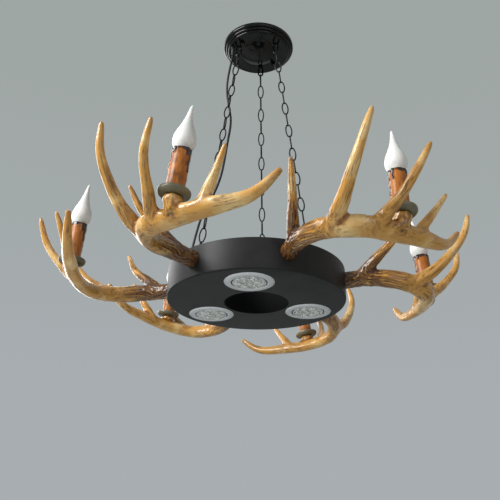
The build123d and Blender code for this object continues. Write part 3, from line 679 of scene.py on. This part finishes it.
def grain_field(limbs, spots):
    """For each point: grain coordinates, bark, share of the limb's length, and how far off the next limb is."""
    found = [limb.near(spots) for limb in limbs]
    gaps = np.column_stack([gap for gap, _, _ in found])
    barks = np.column_stack([bark_strength(i, grain, share) for i, (_, grain, share) in enumerate(found)])
    shares = np.column_stack([share for _, _, share in found])
    weight = np.exp(-(gaps - gaps.min(axis=1)[:, None]) / MEET)
    weight /= weight.sum(axis=1)[:, None]
    grain = sum(weight[:, number, None] * grain for number, (_, grain, _) in enumerate(found))
    ordered = np.sort(gaps, axis=1)
    return grain, (barks * weight).sum(axis=1), (shares * weight).sum(axis=1), ordered[:, 1] - ordered[:, 0]


def hollowness(bm, blur):
    """For each vertex: how far its neighbours stand above it, blurred; hollows are positive."""
    place = np.array([vert.co for vert in bm.verts])
    normal = np.array([vert.normal for vert in bm.verts])
    pairs = np.array([[edge.verts[0].index, edge.verts[1].index] for edge in bm.edges])
    degree = np.bincount(pairs.ravel(), minlength=len(place))

    def around(values):
        total = np.zeros_like(values)
        np.add.at(total, pairs[:, 0], values[pairs[:, 1]])
        np.add.at(total, pairs[:, 1], values[pairs[:, 0]])
        return total / degree.reshape(-1, *[1] * (values.ndim - 1))

    hollow = ((around(place) - place) * normal).sum(axis=1)
    for _ in range(blur):
        hollow = (hollow + around(hollow)) / 2
    return hollow


def bark_lift(grain, bark, share, height):
    """Lift along the normal, in millimetres: ridges along the grain, knobs in the bark, a slow swell on all."""
    lifts = np.zeros(len(grain))
    for i, (x, y, z) in enumerate(grain):
        long_grain = Vector((x * 0.2, y * 0.2, z * 0.026))
        ridge = 1 - 2.2 * abs(noise.noise(long_grain))
        fine = 1 - 2.2 * abs(noise.noise(long_grain * 2.4 + Vector((7, 3, 1))))
        lump = noise.noise(Vector((x * 0.3, y * 0.3, z * 0.16)))
        swell = noise.noise(Vector((x * 0.05, y * 0.05, z * 0.03)))
        heavy = bark[i] ** 1.3
        shape = 0.6 * ridge + 0.3 * fine + 0.35 * lump - 0.4
        lifts[i] = shape * heavy * height + (swell * 0.7 + ridge * 0.14 + fine * 0.06 - 0.12) * (1 - share[i])
    return lifts


def antler_bmesh(sizes):
    """One antler, in millimetres in its own frame, with the attributes that its finish reads."""
    limbs = [Limb(*numbers) for numbers in LIMBS]
    bm = bmesh.new()
    for limb in limbs:
        limb.skin(bm)
    bmesh.ops.recalc_face_normals(bm, faces=bm.faces)
    mesh = bpy.data.meshes.new("antler_core")
    bm.to_mesh(mesh)
    bm.free()
    core = bpy.data.objects.new("antler_core", mesh)
    bpy.context.scene.collection.objects.link(core)
    remesh = core.modifiers.new("one skin", "REMESH")
    remesh.mode = "VOXEL"
    remesh.voxel_size = sizes.grain / MM
    bm = from_object(core)
    bpy.data.objects.remove(core)
    bpy.data.meshes.remove(mesh)
    gaps = grain_field(limbs, np.array([vert.co for vert in bm.verts]))[3]
    web = [vert for vert, apart in zip(bm.verts, gaps) if apart < sizes.web / MM]
    freely = {"use_axis_x": True, "use_axis_y": True, "use_axis_z": True}
    for verts, rounds in ((web, WEB_ROUNDS), (bm.verts, SKIN_ROUNDS)):
        for _ in range(rounds):
            bmesh.ops.smooth_vert(bm, verts=verts, factor=0.5, **freely)
    bm.normal_update()
    grain, bark, share, apart = grain_field(limbs, np.array([vert.co for vert in bm.verts]))
    for vert, lift in zip(bm.verts, bark_lift(grain, bark, share, sizes.bark / MM)):
        vert.co += vert.normal * lift
    bm.normal_update()
    bm.verts.index_update()
    masks = {
        "bark": bark,
        "share": share,
        "join": np.exp(-(apart / JOIN_REACH) ** 2),
        "furrow": hollowness(bm, 1) * FURROW_GAIN,
        # broad hollows: the finish darkens them, partly as painted shade
        "valley": hollowness(bm, 30) * VALLEY_GAIN,
    }
    for name, values in masks.items():
        layer = bm.verts.layers.float.new(name)
        for vert, value in zip(bm.verts, values):
            vert[layer] = float(value)
    layer = bm.verts.layers.float_vector.new("grain")
    for vert, value in zip(bm.verts, grain):
        vert[layer] = Vector(value) * MM
    return bm


def antler_place(number):
    """The antler's frame, in millimetres, on the drum, in metres."""
    bolt = Matrix.Translation((0, 0, BOLT_HEIGHT))
    roll = bolt @ Matrix.Rotation(radians(ANTLER_ROLLS[number]), 4, "X") @ bolt.inverted()
    turn = Matrix.Rotation(radians(ANTLER_TURNS[number] - 90), 4, "Z")
    return Matrix.Translation((0, 0, UNDERSIDE)) @ turn @ roll @ Matrix.Scale(MM, 4)


def candle_place(number):
    """The middle of the drip pan, +Z along the candle, in metres."""
    across = Vector((1, 0, -CANDLE_LEAN.x / CANDLE_LEAN.z)).normalized()
    axes = Matrix((across, CANDLE_LEAN.cross(across), CANDLE_LEAN)).transposed().to_4x4()
    local = Matrix.Translation(CANDLE_FOOT) @ axes @ Matrix.Scale(1 / MM, 4)
    return antler_place(number) @ local


class CHANDELIER_OT_antlers(Operator):
    """Cast resin antlers: limbs grown along their lines, joined in one skin, webbed and barked"""

    bl_idname = "chandelier.antlers"
    bl_label = "Antlers"

    def execute(self, context):
        model = antler_bmesh(context.scene.lamp_antlers)
        for number in ANTLER_TURNS:
            name = f"antler_{number}"
            piece(model.copy(), f"{name}_resin", "drum", "antler_resin", (name,), antler_place(number), sharp=180)
        model.free()
        return {"FINISHED"}


# ---- candle lamps ----
# Millimetres, with heights above the drip pan's middle.
SLEEVE_FOOT, SLEEVE_RIM, SLEEVE_ROWS = -2.5, 1.6, 44
DRIP_SEED = 40
# A wax drip's angle from the front and its length.
DRIP_RUNS = ((-1.3, 40), (-0.7, 13), (0.9, 15), (1.28, 34), (2.4, 46), (3.3, 24), (4.2, 52))
# Heights and radii of a bulb, from its cap to its tip.
BULB_RINGS = (
    (58.4, 6.2), (60, 7.6), (64, 8.6), (68, 9.8), (72, 11.6), (76, 14.0), (80, 16.0), (84, 17.1), (88, 17.4),
    (92, 17.1), (97, 16.1), (103, 14.2), (109, 11.9), (115, 9.7), (121, 7.8), (127, 6.2), (133, 4.9), (139, 3.9),
    (144, 3.2), (148, 2.6), (151, 2.0), (152.8, 1.3),
)
BULB_BELLY, BULB_RADIUS = 92, 17.4


def drips(number):
    """Wax drips of one sleeve: (angle, half width in radians, length in metres); two lie at the sides in front."""
    chance = np.random.default_rng(DRIP_SEED + number)
    front = radians(-ANTLER_TURNS[number])
    return [
        (front + angle + chance.uniform(-0.1, 0.1), chance.uniform(0.17, 0.25), (length + chance.uniform(-7, 7)) * MM)
        for angle, length in DRIP_RUNS
    ]


def bell(distance, width):
    """1 at no distance, falling off over the width."""
    return exp(-((distance / width) ** 2))


def drip_cover(runs, angle, depth, wave):
    """How much wax drips cover a place on a sleeve, and how far they lift it there."""
    cover, lift = 0.0, 0.0
    for middle, half, length in runs:
        off = (angle - middle + pi) % (2 * pi) - pi + wave
        width = half * (0.75 + 0.45 * bell(depth - length, 5 * MM))
        across = max(0.0, 1 - (off / width) ** 2)
        here = sqrt(across) * min(1.0, max(0.0, (length + 2 * MM - depth) / (4 * MM)))
        bead = 1 + 0.6 * bell(depth - length + 1 * MM, 3.5 * MM)
        cover, lift = max(cover, here), max(lift, here * bead)
    return cover, lift


def sleeve_bmesh(number, sizes):
    """A wax sleeve whose outside carries drips from its rim."""
    bottom, top, radius, rim = SLEEVE_FOOT * MM, sizes.sleeve_top, sizes.sleeve, SLEEVE_RIM * MM
    wall = [(radius, bottom + (top - rim - bottom) * row / SLEEVE_ROWS) for row in range(SLEEVE_ROWS + 1)]
    lip = [(radius - rim * (1 - cos(a)), top - rim + rim * sin(a)) for a in (0.5, 1.05, pi / 2)]
    inside = [(radius - 2.2 * MM, top), (radius - 2.6 * MM, top - 1 * MM), (radius - 2.6 * MM, bottom)]
    bm = turned(wall + lip + inside, steps=72)
    runs = drips(number)
    tone = bm.verts.layers.float.new("drip")
    grain = bm.verts.layers.float_vector.new("grain")
    for vert in bm.verts:
        angle, height = atan2(vert.co.y, vert.co.x), vert.co.z
        depth = top - height
        cover, lift = drip_cover(runs, angle, depth, 0.05 * sin(height * 420 + number))
        band = exp(-max(0.0, depth - 4 * MM) / (3.5 * MM)) * (0.8 + 0.3 * sin(angle * 5 + number))
        outside = Vector((vert.co.x, vert.co.y, 0))
        vert[tone] = max(cover, band)
        vert[grain] = Vector((cos(angle) * radius, sin(angle) * radius, height + number))
        if outside.length > radius - 1.9 * MM:
            ripple = noise.noise(Vector((cos(angle) * 2.2, sin(angle) * 2.2, height * 25 + number * 7)))
            vert.co += outside.normalized() * ((lift * 0.75 + band * 0.25) * sizes.drip + ripple * 0.35 * MM)
    return bm


def bulb_bmesh(sizes):
    """A frosted flame-shaped bulb with a bent, pointed tip."""
    grow = sizes.bulb / (BULB_RADIUS * MM)
    line, _ = smooth_line([(0, height, radius * grow) for height, radius in BULB_RINGS], 60)
    foot, tip = (0, BULB_RINGS[0][0] * MM), (0, sizes.bulb_tip)
    bm = turned([foot] + [(radius * MM, height * MM) for _, height, radius in line] + [tip], 40, closed=False)
    belly = BULB_BELLY * MM
    for vert in bm.verts:
        rise = max(0.0, (vert.co.z - belly) / (sizes.bulb_tip - belly))
        vert.co.x -= sizes.bend * rise**3
    return bm


def pan_bmesh(radius):
    """A shallow drip dish with a raised, rolled rim."""
    hole = 5.1 * MM
    outline = [
        (hole, -4.5 * MM), (0.6 * radius, -4.5 * MM), (0.9 * radius, -3.2 * MM), (radius, 0.6 * MM),
        (0.985 * radius, 4.2 * MM), (0.93 * radius, 4.5 * MM), (0.86 * radius, 2.2 * MM),
        (0.72 * radius, -2.4 * MM), (hole, -2.5 * MM),
    ]
    return turned(rounded(outline, 1.6 * MM, keep=(0, 8)), steps=64)


class CHANDELIER_OT_candles(Operator):
    """Drip pans, wax sleeves and frosted bulbs"""

    bl_idname = "chandelier.candles"
    bl_label = "Candle lamps"

    def execute(self, context):
        sizes = context.scene.lamp_candles
        for number in ANTLER_TURNS:
            place = candle_place(number)
            piece(pan_bmesh(sizes.pan), f"candle_pan_{number}", "drum", "pan_olive", ("candle_pans",), place)
            sleeve = sleeve_bmesh(number, sizes)
            piece(sleeve, f"candle_sleeve_{number}_wax", "drum", "wax_brown", ("candle_sleeves",), place, sharp=70)
            glass = f"bulb_{number}_glass"
            piece(bulb_bmesh(sizes), f"{glass}_frosted", f"bulb_{number}", "frosted_glass", (glass,), place, sharp=60)
        return {"FINISHED"}


# ---- chains and cord ----
UPPER_HOOK, UPPER_CIRCLE = -38.25 * MM, 46 * MM         # height and circle of the canopy's eyes
LOWER_HOOK, LOWER_CIRCLE = -516.75 * MM, 112.5 * MM     # height and circle of the drum's eyes
EYE_WIRE = 3.5 * MM
HOOK_GAP = 0.35 * MM                                    # between a closed hook and its link
OPEN_GAP = 1.1 * MM                                     # at the lower hooks of the right and far chains
LINK_MERGE = 0.02 * MM


def chain_line(name):
    """A chain's top and foot at its hooks, the way down, and the way across it towards +X."""
    top = polar(CHAINS[name], UPPER_CIRCLE, UPPER_HOOK)
    foot = polar(CHAINS[name], LOWER_CIRCLE, LOWER_HOOK)
    line = (foot - top).normalized()
    return top, foot, line, (Vector((1, 0, 0)) - line * line.x).normalized()


def link_bmesh(length, sizes):
    """One oval link lying in the X-Y plane, long along X: a round wire spun through four arcs."""
    end, half = sizes.end_radius, sizes.half_width
    reach = length / 2 - end
    bow = (reach**2 + half**2 - end**2) / (2 * (half - end))
    side = atan2(reach, bow - half)
    bm = bmesh.new()
    bmesh.ops.create_circle(bm, segments=10, radius=sizes.wire / 2)
    upright = Matrix.Rotation(pi / 2, 4, "Y")
    bmesh.ops.transform(bm, matrix=Matrix.Translation((0, half, 0)) @ upright, verts=bm.verts)
    last = list(bm.verts) + list(bm.edges)
    arcs = (
        ((0, half - bow, 0), side, 6),
        ((reach, 0, 0), pi - 2 * side, 12),
        ((0, bow - half, 0), 2 * side, 12),
        ((-reach, 0, 0), pi - 2 * side, 12),
        ((0, half - bow, 0), side, 6),
    )
    for centre, angle, steps in arcs:
        last = bmesh.ops.spin(bm, geom=last, cent=centre, axis=(0, 0, -1), angle=angle, steps=steps)["geom_last"]
    return sealed(bm, LINK_MERGE)


class CHANDELIER_OT_chains(Operator):
    """Three chains of oval welded links"""

    bl_idname = "chandelier.chains"
    bl_label = "Chains"

    def execute(self, context):
        sizes = context.scene.lamp_chains
        touch = (EYE_WIRE + sizes.wire) / 2
        overlap = sizes.wire + sizes.slack
        for name in CHAINS:
            top, foot, line, broad = chain_line(name)
            lower_gap = HOOK_GAP if name == "left" else OPEN_GAP
            start = top - line * (touch + HOOK_GAP)
            run = (foot - top).length + 2 * touch + HOOK_GAP + lower_gap
            length = (run + (sizes.links - 1) * overlap) / sizes.links
            link = link_bmesh(length - sizes.wire, sizes)
            chain = bmesh.new()
            for number in range(sizes.links):
                middle = start + line * (length / 2 + number * (length - overlap))
                normal = broad if number % 2 == 0 else broad.cross(line)
                axes = Matrix((line, normal.cross(line), normal)).transposed().to_4x4()
                add_copy(chain, link, Matrix.Translation(middle) @ axes)
            link.free()
            piece(chain, f"chain_{name}_links", f"chain_{name}", "chain_black", (f"chain_{name}",), sharp=180)
        return {"FINISHED"}


# The cord's route beside the left chain: distance down the chain, to its right and behind it, in millimetres.
CORD_STATIONS = (
    (30, -12.9, 0.0), (62, -13.6, 1.2), (92, -12.2, 5.4), (118, -6.4, 10.2), (142, 1.2, 12.0), (166, 8.0, 9.6),
    (195, 11.4, 5.2), (230, 11.6, 3.6), (268, 12.4, 4.0), (302, 11.4, 6.4), (328, 6.6, 10.6), (352, 0.2, 12.4),
    (376, -6.6, 11.0), (402, -11.4, 6.6), (430, -12.6, 2.4), (456, -13.6, 0.4),
)
GRIP_OFFSET, GLAND_OFFSET = 12.5 * MM, 14.5 * MM        # from the left chain's hooks to the cord's two ends


class CHANDELIER_OT_cord(Operator):
    """Supply cord, wound loosely along the left chain"""

    bl_idname = "chandelier.cord"
    bl_label = "Supply cord"

    def execute(self, context):
        thick = context.scene.lamp_chains.cord
        top, foot, line, right = chain_line("left")
        behind = right.cross(line)
        exit_point = top - Vector((GRIP_OFFSET, 0, 0))
        points = [exit_point]
        points += [top + (line * down + right * x + behind * y) * MM for down, x, y in CORD_STATIONS]
        points += [foot - Vector((GLAND_OFFSET, 0, 0))]
        curve = bpy.data.curves.new("supply_cord_flex", "CURVE")
        curve.dimensions = "3D"
        curve.bevel_depth = thick / 2
        curve.bevel_resolution = 4
        curve.use_fill_caps = True
        curve.resolution_u = 12
        spline = curve.splines.new("NURBS")
        spline.points.add(len(points) - 1)
        for knot, point in zip(spline.points, points):
            knot.co = (*point, 1)
        spline.order_u = 3
        spline.use_endpoint_u = True
        spline.use_smooth = True
        cord = bpy.data.objects.new("supply_cord_flex", curve)
        dressed(cord, "chain_left", "cord_black", ("supply_cord",))
        return {"FINISHED"}


# ---- spots ----
SPOT_CIRCLE = 104.5 * MM
COLLAR_RADIUS = 29.2 * MM
FACE = -2.0 * MM            # front of the tilting head, from the drum's underside
LED_CIRCLE = 17.2 * MM
LED_PLACES = [(0.0, 0.0)] + [(LED_CIRCLE * cos(radians(a)), LED_CIRCLE * sin(radians(a))) for a in range(0, 360, 60)]
# Outlines in millimetres: radius and height above the drum's underside or the head's front.
BEZEL = ((28.85, -1.95), (30.1, -2.3), (33.5, -2.4), (38.5, -2.0), (42, -0.6), (42, 0), (32.6, 0), (32.6, 7), (29.2, 7))
LENS_PLATE = ((0, 2.6), (22.4, 2.6), (22.4, -0.02), (27.2, -0.02), (26.9, -0.5), (26.0, -0.7), (0, -0.6))
LENS_CONE = (
    (0, -0.3), (8.4, -0.3), (8.2, -1.5), (7.0, -2.2), (6.1, -1.8), (4.9, -2.5), (3.9, -2.1), (2.6, -2.6), (0, -2.75),
)


def in_metres(outline):
    return [(radius * MM, height * MM) for radius, height in outline]


def bezel_bmesh():
    """Trim ring with a raised satin face; its inner edge opens at both sides where the head swings."""
    bm = turned(rounded(in_metres(BEZEL), 0.4 * MM, 2), steps=120)
    for vert in bm.verts:
        angle = abs((atan2(vert.co.y, vert.co.x) + pi / 2) % pi - pi / 2)
        radius = Vector((vert.co.x, vert.co.y)).length
        if radius < COLLAR_RADIUS + 1.6 * MM and vert.co.z < 1 * MM:
            opening = 1.3 * MM * max(0.0, min(1.0, (radians(38) - angle) / radians(8)))
            vert.co.x *= 1 + opening / radius
            vert.co.y *= 1 + opening / radius
    return bm


def lens_bmesh():
    """Seven moulded lenses on one plate over the head's rim: each a short cone with a domed, ribbed front."""
    plate = turned(in_metres(LENS_PLATE), 72)
    cone = turned(in_metres(LENS_CONE), 24)
    for x, y in LED_PLACES:
        add_copy(plate, cone, Matrix.Translation((x, y, 0)))
    cone.free()
    return plate


class CHANDELIER_OT_spots(Operator):
    """Trim rings and lens clusters of the three tilting downlights"""

    bl_idname = "chandelier.spots"
    bl_label = "Spots"

    def execute(self, context):
        for number, azimuth in SPOTS.items():
            place = Matrix.Translation(polar(azimuth, SPOT_CIRCLE, UNDERSIDE))
            piece(bezel_bmesh(), f"spot_bezel_{number}", "drum", "satin_silver", ("spot_bezels",), place, 28)
            front = place @ Matrix.Translation((0, 0, FACE))
            lens = f"spot_{number}_lens"
            piece(lens_bmesh(), f"{lens}_cluster", f"spot_{number}", "led_lens", (lens,), front, 28)
        return {"FINISHED"}


# ---- carried-over pieces ----
KEPT_SHAPES = (
    "canopy", "canopy_cap_nuts", "canopy_eyes", "drum_shell", "drum_lid", "lid_screws", "drum_eyes", "spot_1_head",
    "spot_2_head", "spot_3_head",
)


class CHANDELIER_OT_hardware(Operator):
    """Drum, lid, canopy, eyes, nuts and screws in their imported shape, made smooth; finishes of the inner parts"""

    bl_idname = "chandelier.hardware"
    bl_label = "Drum, canopy and hardware"

    def execute(self, context):
        slots = {row["node"]: row["material_slot"] for row in frame["record"]["subparts"]}
        bodies = {node: body for body, nodes in frame["record"]["behaviour"]["bodies"].items() for node in nodes}
        for name, node in frame["nodes"].items():
            node.data.materials.clear()
            node.data.materials.append(FINISHES[slots[name]])
        for name in KEPT_SHAPES:
            bm = bmesh.new()
            bm.from_mesh(frame["nodes"][name].data)
            bmesh.ops.remove_doubles(bm, verts=bm.verts, dist=MERGE)
            piece(bm, f"{name}_smooth", bodies[name], slots[name], (name,), sharp=30)
        return {"FINISHED"}


# ---- stage ----
CAMERA_PLACE = (0.1181, -1.0508, -0.9680)
AIM = (0, 0, -0.5)                          # where the softboxes point
SOFTBOXES = {                               # place and width, by the name of their power
    "key": ((-1.7, -1.3, 0.5), 1.3),
    "window": ((-2.1, 1.9, 0.6), 2.2),
    "fill": ((1.2, -2.2, -0.2), 1.6),
}
FLOOR_HEIGHT, FLOOR_RADIUS = -1.7, 7.0
FLOOR_GLOW = 0.8                            # how much of the floor the camera sees as plain backdrop


def softbox(name, place, width, power):
    """A square area lamp that points at the chandelier."""
    lamp = bpy.data.lights.new(name, "AREA")
    lamp.shape = "SQUARE"
    lamp.size = width
    lamp.energy = power
    made = bpy.data.objects.new(name, lamp)
    made.location = place
    made.rotation_euler = (Vector(AIM) - Vector(place)).to_track_quat("-Z", "Y").to_euler()
    bpy.context.scene.collection.objects.link(made)


class CHANDELIER_OT_stage(Operator):
    """Camera at the picture's angle, plain backdrop, pale floor and soft lamps"""

    bl_idname = "chandelier.stage"
    bl_label = "Stage"

    def execute(self, context):
        scene = context.scene
        settings = scene.lamp_stage
        scene.view_settings.view_transform = "Standard"
        self.camera(scene, settings)
        for name, (place, width) in SOFTBOXES.items():
            softbox(f"{name} softbox", place, width, getattr(settings, name))
        self.backdrop(scene, settings)
        self.floor(scene)
        return {"FINISHED"}

    def camera(self, scene, settings):
        level = Vector((cos(settings.yaw), -sin(settings.yaw), 0))
        flat = cos(settings.pitch)
        ahead = Vector((sin(settings.yaw) * flat, cos(settings.yaw) * flat, sin(settings.pitch)))
        above = level.cross(ahead)
        right = level * cos(settings.roll) + above * sin(settings.roll)
        top = above * cos(settings.roll) - level * sin(settings.roll)
        data = bpy.data.cameras.new("camera")
        data.sensor_width = 36.0
        data.lens = settings.lens
        camera = bpy.data.objects.new("camera", data)
        axes = Matrix((right, top, -ahead)).transposed().to_4x4()
        camera.matrix_world = Matrix.Translation(CAMERA_PLACE) @ axes
        scene.collection.objects.link(camera)
        scene.camera = camera

    def floor(self, scene):
        """Pale floor that keeps the shadow and fades into the backdrop where the camera looks."""
        bm = bmesh.new()
        bmesh.ops.create_circle(bm, cap_ends=True, segments=96, radius=FLOOR_RADIUS)
        bmesh.ops.translate(bm, verts=bm.verts, vec=(0, 0, FLOOR_HEIGHT))
        mesh = bpy.data.meshes.new("floor")
        bm.to_mesh(mesh)
        bm.free()
        f = Finish("floor_paint", roughness=0.9)
        cloud = f.noise(f.place(), 2.0, 2, 0.5)
        f.set(base_color=f.mix(shade_of("floor"), shade_of("floor_pale"), cloud))
        glow = f.node("Emission", {}, {"Color": shade_of("backdrop_low")})
        f.surface(Signal(f, f.shader.outputs[0]), glow, f.rays("Camera") * FLOOR_GLOW)
        mesh.materials.append(f.material)
        floor = bpy.data.objects.new("floor", mesh)
        scene.collection.objects.link(floor)

    def backdrop(self, scene, settings):
        """World: a plain room light, and the wall's colour where the camera, metal or glass looks."""
        scene.world = bpy.data.worlds.new("room")
        f = Nodes(scene.world)
        light = f.node("Background", {}, {"Color": (1, 1, 1), "Strength": settings.room})
        climb = f.node("SeparateXYZ", {}, {"Vector": f.node("TexCoord", {}, {}, "Generated")}, "Z")
        shade = f.mix(shade_of("backdrop"), shade_of("backdrop_low"), 1 - climb.between(0.1, 0.72))
        wall = f.node("Background", {}, {"Color": shade})
        f.surface(light, wall, f.rays("Camera", "Transmission", "Glossy"))


OPERATORS = (
    CHANDELIER_OT_stage,
    CHANDELIER_OT_cord,
    CHANDELIER_OT_hardware,
    CHANDELIER_OT_chains,
    CHANDELIER_OT_spots,
    CHANDELIER_OT_candles,
    CHANDELIER_OT_antlers,
)


class CHANDELIER_PT_panel(Panel):
    """Lists the pieces of the chandelier"""

    bl_idname = "CHANDELIER_PT_panel"
    bl_label = "Chandelier"
    bl_space_type = "VIEW_3D"
    bl_region_type = "UI"
    bl_category = "Chandelier"

    def draw(self, context):
        for maker in OPERATORS:
            self.layout.operator(maker.bl_idname)


def register():
    for group in GROUPS.values():
        bpy.utils.register_class(group)
    for name, group in GROUPS.items():
        setattr(bpy.types.Scene, name, PointerProperty(type=group))
    for maker in (*OPERATORS, CHANDELIER_PT_panel):
        bpy.utils.register_class(maker)


def unregister():
    for maker in (CHANDELIER_PT_panel, *reversed(OPERATORS)):
        bpy.utils.unregister_class(maker)
    for name in GROUPS:
        delattr(bpy.types.Scene, name)
    for group in reversed(GROUPS.values()):
        bpy.utils.unregister_class(group)


def main():
    register()
    FINISHES.update(make_finishes())
    for maker in OPERATORS:
        category, name = maker.bl_idname.split(".")
        getattr(getattr(bpy.ops, category), name)()


if __name__ == "__main__":
    main()
